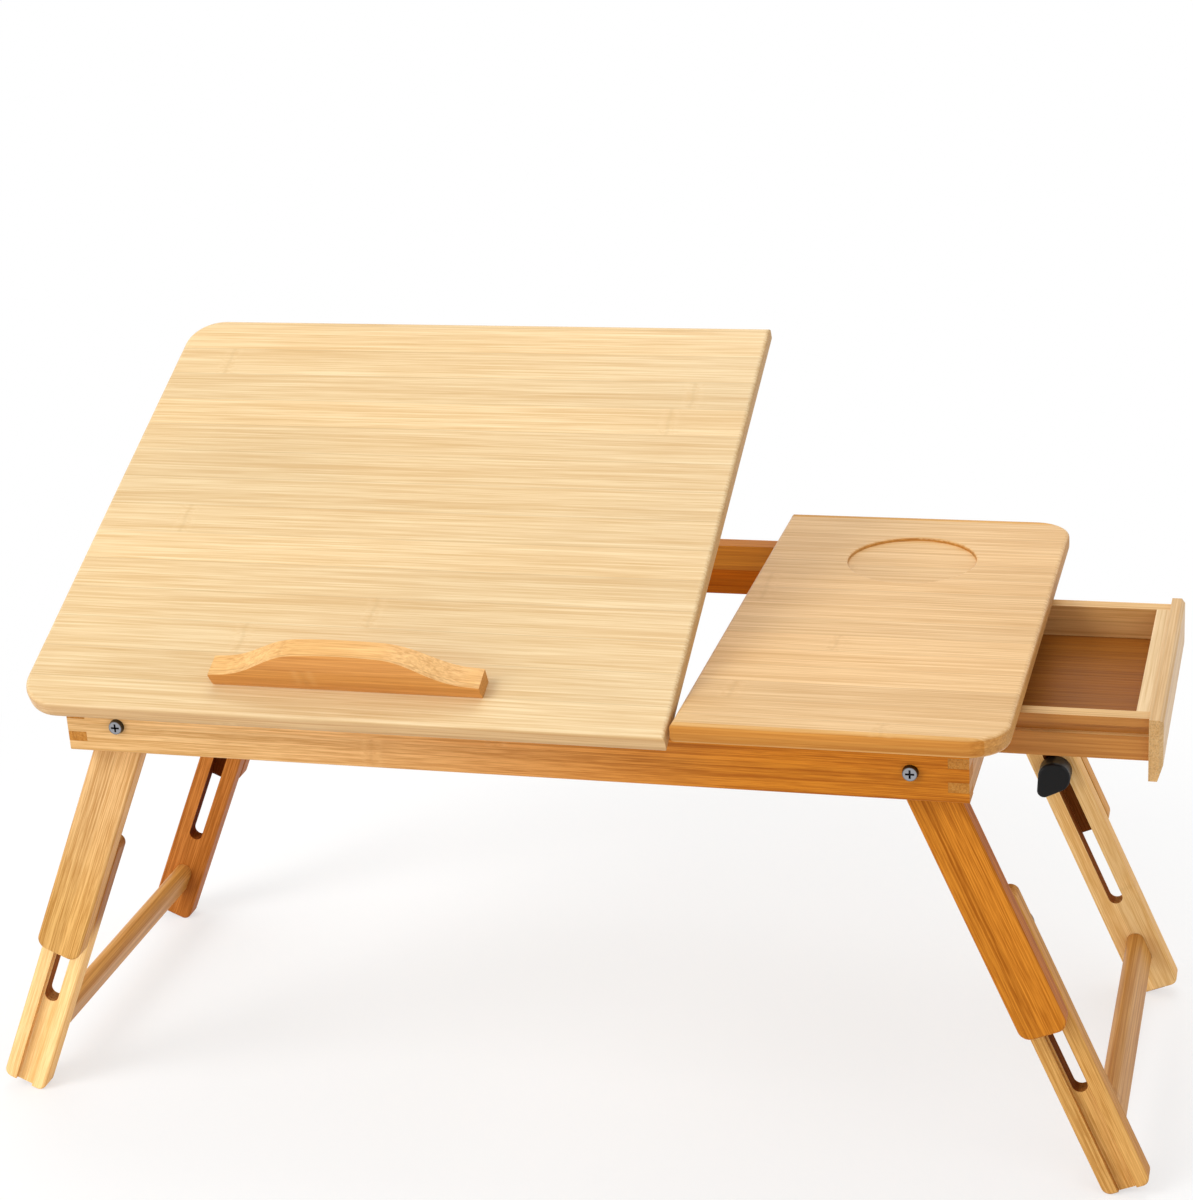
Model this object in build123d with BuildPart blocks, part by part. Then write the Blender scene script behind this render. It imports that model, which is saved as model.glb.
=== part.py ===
import math
import os

from build123d import *

os.makedirs("parts", exist_ok=True)

# Folding bed desk: X runs along its length with the drawer at +X, Y from the front
# edge to the back, Z up from the floor. All sizes are in millimetres.

# Tops
top_length = 500.0
top_depth = 297.0
top_thickness = 10.5
top_height = 264.0
fixed_top_width = 158.7
top_gap = 2.0
front_overhang = 14.0
corner_radius = 20.0
top_edge_round = 2.5
bottom_edge_round = 3.5

# Frame
frame_length = 462.0
frame_depth = 266.0
apron_height = 29.0
apron_thickness = 12.0
rail_thickness = 10.0
finger_height = 5.2
finger_low = 5.4
finger_pitch = 12.4
finger_fit = 0.05
frame_edge_round = 1.2

# Tilting top
tilt = 24.9
lid_clearance = 0.3
hinge_inset = 0.5
hinge_spread = 110.0
leaf_length = 40.0
leaf_width = 9.0
leaf_thickness = 1.1
leaf_offset = 0.2
knuckle_radius = 2.2
knuckle_pocket = 2.6
hinge_pin_radius = 1.1
knuckle_share = 0.34
hinge_screw_radius = 1.0
hinge_screw_length = 8.0

# Ledge that stops a laptop from sliding
stop_length = 142.0
stop_thickness = 11.0
stop_low = 9.0
stop_high = 25.0
stop_bulge = 2.0
stop_front = 19.6
stop_offset = 4.0
stop_flat = 3.0
stop_slope = 48.0
stop_screw_radius = 1.6
stop_screw_depth = 5.5

# Quadrant stay under the tilting top
stay_radius = 72.0
stay_width = 10.0
stay_thickness = 2.0
stay_screw_angle = 6.2
stay_slot_width = 4.4
stay_flange_width = 14.0
stay_flange_length = 44.0
bearer_width = 12.0
bearer_height = 10.0

# Legs
leg_splay = 23.2
leg_width = 25.0
leg_thickness = 12.0
leg_gap = 0.8
leg_slide_gap = 0.3
leg_round = 1.6
pivot_inset = 27.7
pivot_rise = 14.7
upper_leg_end = 156.7
upper_leg_corner = 6.0
lower_leg_top = 84.0
lower_leg_corner = 4.5
groove_width = 10.0
groove_depth = 3.0
rib_clearance = 0.3
rib_start = 13.0
slot_width = 8.0
slot_top = 97.0
slot_bottom = 198.5
knob_station = 110.5
brace_from_foot = 27.5
brace_width = 20.0
brace_thickness = 10.0
brace_tenon = 6.0
brace_fit = 0.1

# Pivot bolts, studs and knobs
bolt_radius = 2.5
running_clearance = 0.05
bolt_head_radius = 4.0
bolt_head_height = 2.4
bolt_recess_width = 1.0
bolt_recess_length = 4.4
bolt_recess_depth = 1.6
nut_across_flats = 8.0
nut_height = 4.0
nut_pocket_radius = 5.2
nut_pocket_depth = 4.6
stud_radius = 3.0
stud_embed = 9.0
knob_washer_radius = 8.0
knob_washer_thickness = 1.2
knob_radius = 8.9
knob_height = 11.0
knob_reach = 14.0
knob_tail_radius = 3.8
front_knob_turn = 180.0
back_knob_turn = 56.4

# Drawer
drawer_width = 150.0
drawer_height = 22.0
drawer_drop = 6.4
drawer_wall = 8.5
drawer_inner_front_wall = 7.0
drawer_floor = 3.0
drawer_floor_lift = 2.0
floor_groove_depth = 3.0
drawer_open = 77.8
drawer_back_gap = 3.2
face_width = 160.0
face_rise = 1.5
face_drop = 8.5
face_thickness = 6.8
face_bevel = 1.8
face_low_bevel = 2.6
face_low_bevel_height = 8.0
face_gap = 0.3
side_groove_drop = 4.5
side_groove_height = 5.0
side_groove_depth = 3.3
runner_gap = 0.5
runner_width = 6.0
runner_height = 12.0
tongue_reach = 2.8
tongue_clearance = 0.3
opening_gap = 0.9
divider_width = 12.0
divider_height = 15.0
divider_inset = 2.0

# Cup recess
cup_radius = 34.5
cup_depth = 2.0
cup_from_back = 67.4
cup_round = 1.2

# Derived positions
under = top_height - top_thickness
apron_bottom = under - apron_height
frame_right = frame_length / 2
frame_front = -frame_depth / 2
frame_back = frame_depth / 2
top_right = top_length / 2
top_front = frame_front - front_overhang
top_back = top_front + top_depth
split = top_right - fixed_top_width
lid_right = split - top_gap
lid_middle = (lid_right - top_right) / 2
hinge_y = frame_front + hinge_inset
pivot_x = frame_right - pivot_inset
pivot_z = apron_bottom + pivot_rise
rail_inner = frame_right - rail_thickness
apron_inner = frame_back - apron_thickness
upper_outer = apron_inner - leg_gap
upper_inner = upper_outer - leg_thickness
lower_outer = upper_inner - leg_slide_gap
lower_inner = lower_outer - leg_thickness
splay = math.radians(leg_splay)
foot_half = leg_width / 2 - lower_leg_corner
foot_end = (pivot_z - lower_leg_corner - foot_half * math.sin(splay)) / math.cos(splay)
foot_end = foot_end + lower_leg_corner
brace_station = foot_end - brace_from_foot
lower_length = foot_end - lower_leg_top
drawer_half = drawer_width / 2
drawer_top = under - drawer_drop
drawer_bottom = drawer_top - drawer_height
face_inner = frame_right + face_gap + drawer_open
divider_left = split + divider_inset
divider_right = divider_left + divider_width
box_length = frame_right + face_gap - divider_right - drawer_back_gap
box_back = face_inner - box_length
bearer_left = lid_middle + divider_inset
sides = (("left", -1), ("right", 1))
ends = (("front", -1), ("back", 1))
lid_plane = Plane(
    origin=(0, hinge_y, under),
    x_dir=(1, 0, 0),
    z_dir=(0, -math.sin(math.radians(tilt)), math.cos(math.radians(tilt))),
)
lid_front = top_front - hinge_y
lid_back = top_back - hinge_y


def leg_plane(side, y):
    # local -Y runs down the leg from the pivot, local +Z points to the front
    return Plane(
        origin=(side * pivot_x, y, pivot_z),
        x_dir=(math.cos(splay), 0, side * math.sin(splay)),
        z_dir=(0, -1, 0),
    )


def finish(part, name):
    part.label = name
    export_step(part, f"parts/{name}.step")


# Front and back aprons, with the rail fingers let into both ends
for end_name, end in ends:
    apron_middle = (0, end * (frame_back - apron_thickness / 2), apron_bottom + apron_height / 2)
    with BuildPart() as apron:
        with Locations(apron_middle):
            Box(frame_length, apron_thickness, apron_height)
        outer_face = apron.faces().sort_by(Axis.Y)[-1 if end > 0 else 0]
        fillet(outer_face.edges().filter_by(Axis.X), frame_edge_round)
        for side_name, side in sides:
            for finger in range(2):
                finger_z = apron_bottom + finger_low + finger * finger_pitch + finger_height / 2
                finger_x = side * (frame_right - rail_thickness / 2)
                with Locations((finger_x, apron_middle[1], finger_z)):
                    Box(
                        rail_thickness + 2 * finger_fit,
                        apron_thickness + 1,
                        finger_height + 2 * finger_fit,
                        mode=Mode.SUBTRACT,
                    )
            with Locations(Plane(origin=(side * pivot_x, apron_middle[1], pivot_z), z_dir=(0, 1, 0))):
                Cylinder(bolt_radius, apron_thickness + 1, mode=Mode.SUBTRACT)
        if end < 0:
            for hinge_side in (-1, 1):
                hinge_x = lid_middle + hinge_side * hinge_spread
                with Locations(Plane(origin=(hinge_x, hinge_y, under), z_dir=(1, 0, 0))):
                    Cylinder(knuckle_pocket, leaf_length + 1, mode=Mode.SUBTRACT)
                leaf_bottom = leaf_offset + leaf_thickness + 0.1
                with Locations((hinge_x, hinge_y + (leaf_width + 0.3) / 2, under - leaf_bottom / 2)):
                    Box(leaf_length + 1, leaf_width + 0.3, leaf_bottom, mode=Mode.SUBTRACT)
                for screw_side in (-1, 1):
                    screw_x = hinge_x + screw_side * leaf_length / 4
                    screw_z = under - leaf_offset - hinge_screw_length / 2
                    with Locations((screw_x, hinge_y + leaf_width * 0.65, screw_z)):
                        Cylinder(hinge_screw_radius, hinge_screw_length, mode=Mode.SUBTRACT)
    finish(apron.part, f"{end_name}_apron")

# Side rails: fingers through the aprons, a bevel that the splayed legs lean on
bevel_half = leg_width / 2 + 0.2
bevel_edge = (bevel_half + pivot_rise * math.sin(splay)) / math.cos(splay)
bevel_width = pivot_x + bevel_edge - rail_inner
bevel_rise = bevel_width / math.tan(splay)
for side_name, side in sides:
    rail_x = side * (frame_right - rail_thickness / 2)
    with BuildPart() as rail:
        with Locations((rail_x, 0, apron_bottom + apron_height / 2)):
            Box(rail_thickness, 2 * apron_inner, apron_height)
        bevel_origin = (side * rail_inner, 0, apron_bottom)
        with BuildSketch(Plane(origin=bevel_origin, x_dir=(1, 0, 0), z_dir=(0, -1, 0))):
            Polygon(
                (0, 0),
                (side * bevel_width, 0),
                (0, bevel_rise),
                align=None,
            )
        extrude(amount=apron_inner + 1, both=True, mode=Mode.SUBTRACT)
        outer_face = rail.faces().sort_by(Axis.X)[-1 if side > 0 else 0]
        fillet(outer_face.edges().filter_by(Axis.Y), frame_edge_round)
        for finger in range(2):
            finger_z = apron_bottom + finger_low + finger * finger_pitch + finger_height / 2
            with Locations((rail_x, 0, finger_z)):
                Box(rail_thickness, frame_depth, finger_height)
        if side > 0:
            notch_top = drawer_top + opening_gap
            with Locations((rail_x, 0, (apron_bottom - 1 + notch_top) / 2)):
                Box(
                    rail_thickness + 2,
                    drawer_width + 2 * opening_gap,
                    notch_top - apron_bottom + 1,
                    mode=Mode.SUBTRACT,
                )
    finish(rail.part, f"{side_name}_rail")

# Divider under the inner edge of the fixed top, low enough to clear the folded legs
with BuildPart() as divider:
    with Locations(((divider_left + divider_right) / 2, 0, under - divider_height / 2)):
        Box(divider_width, 2 * apron_inner, divider_height)
finish(divider.part, "divider")

# Bearer under the middle of the tilting top, which carries the stay's clamp
stay_screw_y = hinge_y + stay_radius * math.cos(math.radians(stay_screw_angle))
stay_screw_z = under - stay_radius * math.sin(math.radians(stay_screw_angle))
bearer_top = under - lid_clearance
with BuildPart() as bearer:
    with Locations((bearer_left + bearer_width / 2, 0, bearer_top - bearer_height / 2)):
        Box(bearer_width, 2 * apron_inner, bearer_height)
    bearer_side = Plane(
        origin=(bearer_left + bearer_width / 2, stay_screw_y, stay_screw_z), z_dir=(1, 0, 0)
    )
    with Locations(bearer_side):
        Cylinder(bolt_radius - 0.5, bearer_width + 1, mode=Mode.SUBTRACT)
finish(bearer.part, "bearer")

# Fixed top with its round cup recess
with BuildPart() as fixed_top:
    fixed_middle = ((split + top_right) / 2, (top_front + top_back) / 2, under + top_thickness / 2)
    with Locations(fixed_middle):
        Box(fixed_top_width, top_depth, top_thickness)
    outer_corners = fixed_top.edges().filter_by(Axis.Z).sort_by(Axis.X)[-2:]
    fillet(outer_corners, corner_radius)
    fillet(fixed_top.faces().sort_by(Axis.Z)[0].edges(), bottom_edge_round)
    fillet(fixed_top.faces().sort_by(Axis.Z)[-1].edges(), top_edge_round)
    cup_middle = ((split + top_right) / 2, top_back - cup_from_back, top_height - cup_depth / 2)
    with Locations(cup_middle):
        Cylinder(cup_radius, cup_depth, mode=Mode.SUBTRACT)
    rim = fixed_top.edges().filter_by(GeomType.CIRCLE)
    rim = rim.filter_by(lambda e: abs(e.radius - cup_radius) < 0.01)
    fillet(rim.sort_by(Axis.Z)[-1], cup_round)
finish(fixed_top.part, "fixed_top")

# Tilting top, drawn in its own plane with the hinge axis as origin
stop_middle = lid_middle + stop_offset
with BuildPart() as tilting_top:
    with BuildSketch(lid_plane.offset(lid_clearance)):
        with Locations((lid_middle, (lid_front + lid_back) / 2)):
            Rectangle(lid_right + top_right, top_depth)
    extrude(amount=top_thickness)
    upright = tilting_top.edges().filter_by(Axis(lid_plane.origin, lid_plane.z_dir))
    fillet(upright.sort_by(Axis.X)[:2], corner_radius)
    lid_bottom_face = tilting_top.faces().filter_by(lid_plane).sort_by(Axis.Z)[0]
    fillet(lid_bottom_face.edges(), bottom_edge_round)
    lid_top_face = tilting_top.faces().filter_by(lid_plane).sort_by(Axis.Z)[-1]
    fillet(lid_top_face.edges(), top_edge_round)
    for hinge_side in (-1, 1):
        hinge_x = lid_middle + hinge_side * hinge_spread
        with Locations(Plane(origin=(hinge_x, hinge_y, under), z_dir=(1, 0, 0))):
            Cylinder(knuckle_pocket, leaf_length + 1, mode=Mode.SUBTRACT)
        leaf_top = leaf_offset + leaf_thickness + 0.1
        with BuildSketch(lid_plane):
            with Locations((hinge_x, (leaf_width + 0.3) / 2)):
                Rectangle(leaf_length + 1, leaf_width + 0.3)
        extrude(amount=leaf_top, mode=Mode.SUBTRACT)
        with BuildSketch(lid_plane.offset(leaf_offset)):
            for screw_side in (-1, 1):
                with Locations((hinge_x + screw_side * leaf_length / 4, leaf_width * 0.65)):
                    Circle(hinge_screw_radius)
        extrude(amount=hinge_screw_length, mode=Mode.SUBTRACT)
    with BuildSketch(lid_plane.offset(lid_clearance)):
        for screw_side in (-1, 1):
            screw_x = stop_middle + screw_side * stop_length / 3
            with Locations((screw_x, lid_front + stop_front + stop_thickness / 2)):
                Circle(stop_screw_radius)
    extrude(amount=top_thickness, mode=Mode.SUBTRACT)
    with BuildSketch(lid_plane.offset(lid_clearance)):
        for screw_side in (-1, 1):
            screw_x = stop_middle + screw_side * stop_length / 3
            with Locations((screw_x, lid_front + stop_front + stop_thickness / 2)):
                Circle(2 * stop_screw_radius)
    extrude(amount=stop_screw_radius, mode=Mode.SUBTRACT)
    flange_middle = bearer_left - 0.2 - stay_thickness - stay_flange_width / 2
    with BuildSketch(lid_plane.offset(lid_clearance)):
        for screw_side in (-1, 1):
            with Locations((flange_middle, stay_radius + screw_side * stay_flange_length / 3)):
                Circle(stop_screw_radius)
    extrude(amount=stop_screw_depth, mode=Mode.SUBTRACT)
finish(tilting_top.part, "tilting_top")

# Wavy laptop stop standing on the tilting top
stop_base = lid_clearance + top_thickness
rise_end = stop_length / 2 - stop_flat
rise_start = rise_end - stop_slope
with BuildPart() as laptop_stop:
    stop_front_y = lid_front + stop_front
    wave_plane = Plane(
        origin=lid_plane.from_local_coords((stop_middle, stop_front_y - stop_bulge, stop_base)),
        x_dir=(1, 0, 0),
        z_dir=-lid_plane.y_dir,
    )
    with BuildSketch(wave_plane):
        with BuildLine():
            half = stop_length / 2
            base_line = Line((-half, 0), (half, 0))
            right_end = Line((half, 0), (half, stop_low))
            right_low = Line((half, stop_low), (rise_end, stop_low + 0.4))
            right_wave = Spline(
                (rise_end, stop_low + 0.4),
                (rise_start, stop_high - 0.6),
                tangents=((-1, 0.02), (-1, 0.02)),
            )
            crown = ThreePointArc(
                (rise_start, stop_high - 0.6), (0, stop_high), (-rise_start, stop_high - 0.6)
            )
            left_wave = Spline(
                (-rise_start, stop_high - 0.6),
                (-rise_end, stop_low + 0.4),
                tangents=((-1, -0.02), (-1, -0.02)),
            )
            left_low = Line((-rise_end, stop_low + 0.4), (-half, stop_low))
            left_end = Line((-half, stop_low), (-half, 0))
        make_face()
    extrude(amount=-stop_thickness - stop_bulge)
    section_plane = Plane(
        origin=lid_plane.from_local_coords((stop_middle, 0, 0)),
        x_dir=lid_plane.y_dir,
        z_dir=(1, 0, 0),
    )
    with BuildSketch(section_plane):
        with BuildLine():
            low = (stop_front_y, stop_base)
            high = (stop_front_y, stop_base + stop_high)
            belly = (stop_front_y - stop_bulge, stop_base + stop_high * 0.42)
            back_high = (stop_front_y + stop_thickness, stop_base + stop_high)
            back_low = (stop_front_y + stop_thickness, stop_base)
            ThreePointArc(low, belly, high)
            Line(high, back_high)
            Line(back_high, back_low)
            Line(back_low, low)
        make_face()
    extrude(amount=stop_length, both=True, mode=Mode.INTERSECT)
    with BuildSketch(lid_plane.offset(stop_base)):
        for screw_side in (-1, 1):
            screw_x = stop_middle + screw_side * stop_length / 3
            with Locations((screw_x, stop_front_y + stop_thickness / 2)):
                Circle(stop_screw_radius)
    extrude(amount=stop_screw_depth, mode=Mode.SUBTRACT)
finish(laptop_stop.part, "laptop_stop")

# Screws that hold the stop, from below through the tilting top
with BuildPart() as stop_screws:
    for screw_side in (-1, 1):
        screw_x = stop_middle + screw_side * stop_length / 3
        screw_y = stop_front_y + stop_thickness / 2
        with BuildSketch(lid_plane.offset(lid_clearance)):
            with Locations((screw_x, screw_y)):
                Circle(2 * stop_screw_radius - 0.1)
        extrude(amount=stop_screw_radius)
        with BuildSketch(lid_plane.offset(lid_clearance)):
            with Locations((screw_x, screw_y)):
                Circle(stop_screw_radius)
        extrude(amount=top_thickness + stop_screw_depth)
finish(stop_screws.part, "stop_screws")

# Butt hinges: the fixed leaf carries the pin, the other turns with the tilting top
knuckle_half = leaf_length * knuckle_share / 2
leaf_hole_y = leaf_width * 0.65
for hinge_name, hinge_side in (("left", -1), ("right", 1)):
    hinge_x = lid_middle + hinge_side * hinge_spread
    with BuildPart() as fixed_leaf:
        with Locations(Plane(origin=(hinge_x, hinge_y, under), z_dir=(1, 0, 0))):
            Cylinder(knuckle_radius, leaf_length)
            Cylinder(knuckle_pocket, 2 * knuckle_half + 0.4, mode=Mode.SUBTRACT)
            Cylinder(hinge_pin_radius, leaf_length)
        with Locations((hinge_x, hinge_y + leaf_width / 2, under - leaf_offset - leaf_thickness / 2)):
            Box(leaf_length, leaf_width, leaf_thickness)
        with Locations((hinge_x, hinge_y, under)):
            Box(2 * knuckle_half + 0.4, 2 * knuckle_pocket, 2 * knuckle_pocket, mode=Mode.SUBTRACT)
        with Locations(Plane(origin=(hinge_x, hinge_y, under), z_dir=(1, 0, 0))):
            Cylinder(hinge_pin_radius, leaf_length)
        for screw_side in (-1, 1):
            screw_x = hinge_x + screw_side * leaf_length / 4
            with Locations((screw_x, hinge_y + leaf_hole_y, under - leaf_offset - leaf_thickness / 2)):
                Cylinder(hinge_screw_radius, leaf_thickness + 1, mode=Mode.SUBTRACT)
                Cone(hinge_screw_radius, 1.9, leaf_thickness, mode=Mode.SUBTRACT)
    finish(fixed_leaf.part, f"{hinge_name}_hinge_fixed_leaf")
    with BuildPart() as lid_leaf:
        with Locations(Plane(origin=(hinge_x, hinge_y, under), z_dir=(1, 0, 0))):
            Cylinder(knuckle_radius, 2 * knuckle_half)
        plate_start = hinge_pin_radius + 0.3
        with BuildSketch(lid_plane.offset(leaf_offset)):
            with Locations((hinge_x, (plate_start + leaf_width) / 2)):
                Rectangle(2 * knuckle_half, leaf_width - plate_start)
            with Locations((hinge_x, (knuckle_pocket + leaf_width) / 2)):
                Rectangle(leaf_length, leaf_width - knuckle_pocket)
            for screw_side in (-1, 1):
                with Locations((hinge_x + screw_side * leaf_length / 4, leaf_hole_y)):
                    Circle(hinge_screw_radius, mode=Mode.SUBTRACT)
        extrude(amount=leaf_thickness)
        with Locations(Plane(origin=(hinge_x, hinge_y, under), z_dir=(1, 0, 0))):
            Cylinder(hinge_pin_radius + running_clearance, leaf_length, mode=Mode.SUBTRACT)
    finish(lid_leaf.part, f"{hinge_name}_hinge_lid_leaf")

# Hinge screws, one group in the apron and one in the tilting top
with BuildPart() as apron_hinge_screws:
    for hinge_side in (-1, 1):
        for screw_side in (-1, 1):
            screw_x = lid_middle + hinge_side * hinge_spread + screw_side * leaf_length / 4
            head_z = under - leaf_offset - leaf_thickness / 2
            shank_z = under - leaf_offset - hinge_screw_length / 2
            with Locations((screw_x, hinge_y + leaf_hole_y, head_z)):
                Cone(hinge_screw_radius, 1.9, leaf_thickness)
            with Locations((screw_x, hinge_y + leaf_hole_y, shank_z)):
                Cylinder(hinge_screw_radius, hinge_screw_length)
finish(apron_hinge_screws.part, "apron_hinge_screws")

with BuildPart() as lid_hinge_screws:
    with BuildSketch(lid_plane.offset(leaf_offset)):
        for hinge_side in (-1, 1):
            for screw_side in (-1, 1):
                screw_x = lid_middle + hinge_side * hinge_spread + screw_side * leaf_length / 4
                with Locations((screw_x, leaf_hole_y)):
                    Circle(hinge_screw_radius)
    extrude(amount=hinge_screw_length)
finish(lid_hinge_screws.part, "lid_hinge_screws")

# Quadrant stay: a slotted arc about the hinge axis, clamped to the bearer
stay_plane = Plane(
    origin=(bearer_left - 0.2, hinge_y, under),
    x_dir=lid_plane.y_dir,
    z_dir=(-1, 0, 0),
)
slot_start = stay_screw_angle - 0.7
slot_end = stay_screw_angle + tilt + 0.7
with BuildPart() as stay_plate:
    with BuildSketch(stay_plane):
        with BuildLine() as band_line:
            CenterArc((0, 0), stay_radius, slot_start - 1, slot_end - slot_start + 1.3)
        SlotArc(band_line.line.edge(), stay_width)
        with Locations((stay_radius, -lid_clearance + 2.5)):
            Rectangle(stay_flange_length, 5.0)
        with BuildLine() as slot_line:
            CenterArc((0, 0), stay_radius, slot_start, slot_end - slot_start)
        SlotArc(slot_line.line.edge(), stay_slot_width, mode=Mode.SUBTRACT)
    extrude(amount=stay_thickness)
    with BuildSketch(lid_plane.offset(lid_clearance - stay_thickness)):
        with Locations((flange_middle, stay_radius)):
            Rectangle(stay_flange_width, stay_flange_length)
            with Locations((0, -stay_flange_length / 3), (0, stay_flange_length / 3)):
                Circle(stop_screw_radius, mode=Mode.SUBTRACT)
    extrude(amount=stay_thickness)
finish(stay_plate.part, "stay_plate")

with BuildPart() as stay_screws:
    for screw_side in (-1, 1):
        screw_y = stay_radius + screw_side * stay_flange_length / 3
        with BuildSketch(lid_plane.offset(lid_clearance - stay_thickness - 1.4)):
            with Locations((flange_middle, screw_y)):
                Circle(2 * stop_screw_radius)
        extrude(amount=1.4)
        with BuildSketch(lid_plane.offset(lid_clearance - stay_thickness)):
            with Locations((flange_middle, screw_y)):
                Circle(stop_screw_radius)
        extrude(amount=stay_thickness + stop_screw_depth)
finish(stay_screws.part, "stay_screws")

clamp_left = bearer_left - 0.2 - stay_thickness - 0.2
clamp_end = bearer_left + bearer_width + 7.0
with BuildPart() as stay_clamp_bolt:
    with Locations(Plane(origin=(clamp_left - 1, stay_screw_y, stay_screw_z), z_dir=(1, 0, 0))):
        Cylinder(3.5, 2)
    bolt_centre = ((clamp_left + clamp_end) / 2, stay_screw_y, stay_screw_z)
    with Locations(Plane(origin=bolt_centre, z_dir=(1, 0, 0))):
        Cylinder(bolt_radius - 0.5, clamp_end - clamp_left)
finish(stay_clamp_bolt.part, "stay_clamp_bolt")

with BuildPart() as stay_knob:
    knob_plane = Plane(
        origin=(bearer_left + bearer_width + 0.1, stay_screw_y, stay_screw_z), z_dir=(1, 0, 0)
    )
    with BuildSketch(knob_plane):
        Circle(4.2)
        with PolarLocations(3.4, 5):
            Circle(3.4)
        Circle(bolt_radius - 0.5 + running_clearance, mode=Mode.SUBTRACT)
    extrude(amount=7.2)
    with BuildSketch(knob_plane.offset(7.2)):
        Circle(4.2)
        with PolarLocations(3.4, 5):
            Circle(3.4)
    extrude(amount=1.8)
finish(stay_knob.part, "stay_knob")

# Legs: ribbed upper legs on the pivots, grooved and slotted lower legs behind them
rib_height = leg_slide_gap + groove_depth - rib_clearance
washer_face = lower_inner - 0.1
knob_face = washer_face - knob_washer_thickness - 0.1
for end_name, end in ends:
    for side_name, side in sides:
        with BuildPart() as upper_leg:
            with BuildSketch(leg_plane(side, end * upper_outer)) as outline:
                Circle(leg_width / 2)
                with Locations((0, -upper_leg_end / 2)):
                    Rectangle(leg_width, upper_leg_end)
                fillet(outline.vertices().sort_by(Axis.Y)[:2], upper_leg_corner)
            extrude(amount=end * leg_thickness)
            fillet(upper_leg.faces().sort_by(Axis.Y)[0].edges(), leg_round)
            fillet(upper_leg.faces().sort_by(Axis.Y)[-1].edges(), leg_round)
            with BuildSketch(leg_plane(side, end * upper_inner)):
                with Locations((0, -(rib_start + upper_leg_end - leg_round) / 2)):
                    Rectangle(groove_width - 2 * rib_clearance, upper_leg_end - leg_round - rib_start)
            extrude(amount=end * rib_height)
            with BuildSketch(leg_plane(side, end * upper_outer)):
                Circle(bolt_radius + running_clearance)
            extrude(amount=end * leg_thickness, mode=Mode.SUBTRACT)
            with BuildSketch(leg_plane(side, end * upper_inner)):
                Circle(nut_pocket_radius)
            extrude(amount=-end * nut_pocket_depth, mode=Mode.SUBTRACT)
            with BuildSketch(leg_plane(side, end * (upper_inner - rib_height))):
                with Locations((0, -knob_station)):
                    Circle(stud_radius)
            extrude(amount=-end * stud_embed, mode=Mode.SUBTRACT)
        finish(upper_leg.part, f"{end_name}_{side_name}_upper_leg")

        with BuildPart() as lower_leg:
            with BuildSketch(leg_plane(side, end * lower_outer)) as outline:
                with Locations((0, -(lower_leg_top + foot_end) / 2)):
                    RectangleRounded(leg_width, lower_length, lower_leg_corner)
            extrude(amount=end * leg_thickness)
            fillet(lower_leg.faces().sort_by(Axis.Y)[0].edges(), leg_round)
            fillet(lower_leg.faces().sort_by(Axis.Y)[-1].edges(), leg_round)
            with BuildSketch(leg_plane(side, end * lower_outer)):
                with Locations((0, -(lower_leg_top + foot_end) / 2)):
                    Rectangle(groove_width, lower_length + 2)
            extrude(amount=end * groove_depth, mode=Mode.SUBTRACT)
            with BuildSketch(leg_plane(side, end * lower_outer)):
                with Locations((0, -(slot_top + slot_bottom) / 2)):
                    SlotOverall(slot_bottom - slot_top, slot_width, rotation=90)
            extrude(amount=end * leg_thickness, mode=Mode.SUBTRACT)
            with BuildSketch(leg_plane(side, end * lower_inner)):
                with Locations((0, -brace_station)):
                    SlotOverall(brace_width + 2 * brace_fit, brace_thickness + 2 * brace_fit, rotation=90)
            extrude(amount=-end * brace_tenon, mode=Mode.SUBTRACT)
        finish(lower_leg.part, f"{end_name}_{side_name}_lower_leg")

        with BuildPart() as stud:
            with BuildSketch(leg_plane(side, end * (upper_inner - rib_height + stud_embed))):
                with Locations((0, -knob_station)):
                    Circle(stud_radius)
            stud_tip = knob_face - knob_height + 3
            extrude(amount=end * (upper_inner - rib_height + stud_embed - stud_tip))
        finish(stud.part, f"{end_name}_{side_name}_stud")

        with BuildPart() as knob_washer:
            with BuildSketch(leg_plane(side, end * washer_face)):
                with Locations((0, -knob_station)):
                    Circle(knob_washer_radius)
                    Circle(stud_radius, mode=Mode.SUBTRACT)
            extrude(amount=end * knob_washer_thickness)
        finish(knob_washer.part, f"{end_name}_{side_name}_washer")

        knob_turn = back_knob_turn if end > 0 else front_knob_turn
        tail_angle = math.radians(-90 - side * knob_turn)
        tail_x = (knob_reach - knob_tail_radius) * math.cos(tail_angle)
        tail_y = (knob_reach - knob_tail_radius) * math.sin(tail_angle)
        with BuildPart() as knob:
            with BuildSketch(leg_plane(side, end * knob_face)) as knob_outline:
                with Locations((0, -knob_station)):
                    Circle(knob_radius)
                with Locations((tail_x, tail_y - knob_station)):
                    Circle(knob_tail_radius)
                make_hull()
            extrude(amount=end * knob_height)
            grip_face = knob.faces().sort_by(Axis.Y)[0 if end > 0 else -1]
            fillet(grip_face.edges(), 1.5)
            with BuildSketch(leg_plane(side, end * knob_face)):
                with Locations((0, -knob_station)):
                    Circle(stud_radius + running_clearance)
            extrude(amount=end * (knob_height - 2.9), mode=Mode.SUBTRACT)
        finish(knob.part, f"{end_name}_{side_name}_knob")

# Cross braces, tenoned into the lower legs near the feet
for side_name, side in sides:
    brace_reach = lower_inner + brace_tenon - brace_fit
    with BuildPart() as brace:
        with BuildSketch(leg_plane(side, 0)):
            with Locations((0, -brace_station)):
                SlotOverall(brace_width, brace_thickness, rotation=90)
        extrude(amount=brace_reach, both=True)
    finish(brace.part, f"{side_name}_brace")

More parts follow.
